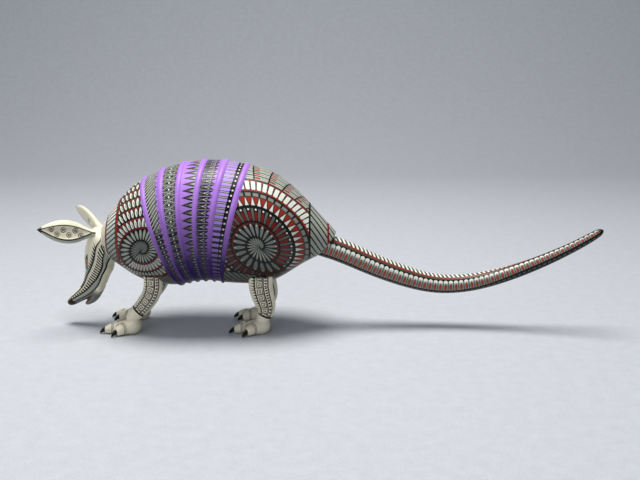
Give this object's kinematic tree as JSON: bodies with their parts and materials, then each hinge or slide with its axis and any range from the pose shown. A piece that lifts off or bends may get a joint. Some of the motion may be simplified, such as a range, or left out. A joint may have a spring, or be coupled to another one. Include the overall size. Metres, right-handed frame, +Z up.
{
  "type": "carved wooden armadillo figure",
  "caption": "Hand-carved and painted folk-art armadillo that stands on its feet, with a plug-in tail and plug-in ears that turn on round pegs.",
  "frame": {"origin": "on the floor, under the middle of the figure's overall box", "axes": "+X from the snout to the tail, +Y to the figure's right side, +Z up"},
  "size_m": [0.4372, 0.0882, 0.1365],
  "materials": {
    "shell_paint": "hand-painted, satin varnish",
    "head_paint": "hand-painted, satin varnish",
    "ear_paint": "hand-painted, satin varnish",
    "tail_paint": "hand-painted, satin varnish",
    "leg_paint": "hand-painted, satin varnish",
    "bare_wood": "bare, sanded"
  },
  "bodies": {
    "body": {"trunk": "shell_paint", "head": "head_paint", "neck_dowel": "bare_wood", "front_left_leg": "leg_paint", "front_right_leg": "leg_paint", "rear_left_leg": "leg_paint", "rear_right_leg": "leg_paint", "front_left_dowel": "bare_wood", "front_right_dowel": "bare_wood", "rear_left_dowel": "bare_wood", "rear_right_dowel": "bare_wood"},
    "tail_peg": {"tail_peg": "bare_wood"},
    "tail": {"tail": "tail_paint"},
    "ear_left_peg": {"ear_left_peg": "bare_wood"},
    "ear_left": {"ear_left": "ear_paint"},
    "ear_right_peg": {"ear_right_peg": "bare_wood"},
    "ear_right": {"ear_right": "ear_paint"}
  },
  "joints": [
    {"name": "tail_pull", "type": "slide", "parent": "body", "child": "tail_peg", "axis": [0.9511, 0, -0.309], "range_m": [0, 0.04]},
    {"name": "tail_turn", "type": "hinge", "parent": "tail_peg", "child": "tail", "pos_m": [0.0019, 0, 0.067], "axis": [0.9511, 0, -0.309], "range_deg": [-45, 45]},
    {"name": "ear_left_pull", "type": "slide", "parent": "body", "child": "ear_left_peg", "axis": [-0.8546, -0.4905, 0.1705], "range_m": [0, 0.012]},
    {"name": "ear_left_turn", "type": "hinge", "parent": "ear_left_peg", "child": "ear_left", "pos_m": [-0.18036, -0.006, 0.0776], "axis": [-0.8546, -0.4905, 0.1705], "range_deg": [-20, 20]},
    {"name": "ear_right_pull", "type": "slide", "parent": "body", "child": "ear_right_peg", "axis": [-0.6383, 0.7052, 0.3086], "range_m": [0, 0.012]},
    {"name": "ear_right_turn", "type": "hinge", "parent": "ear_right_peg", "child": "ear_right", "pos_m": [-0.17802, 0.00882, 0.0776], "axis": [-0.6383, 0.7052, 0.3086], "range_deg": [-20, 20]}
  ]
}
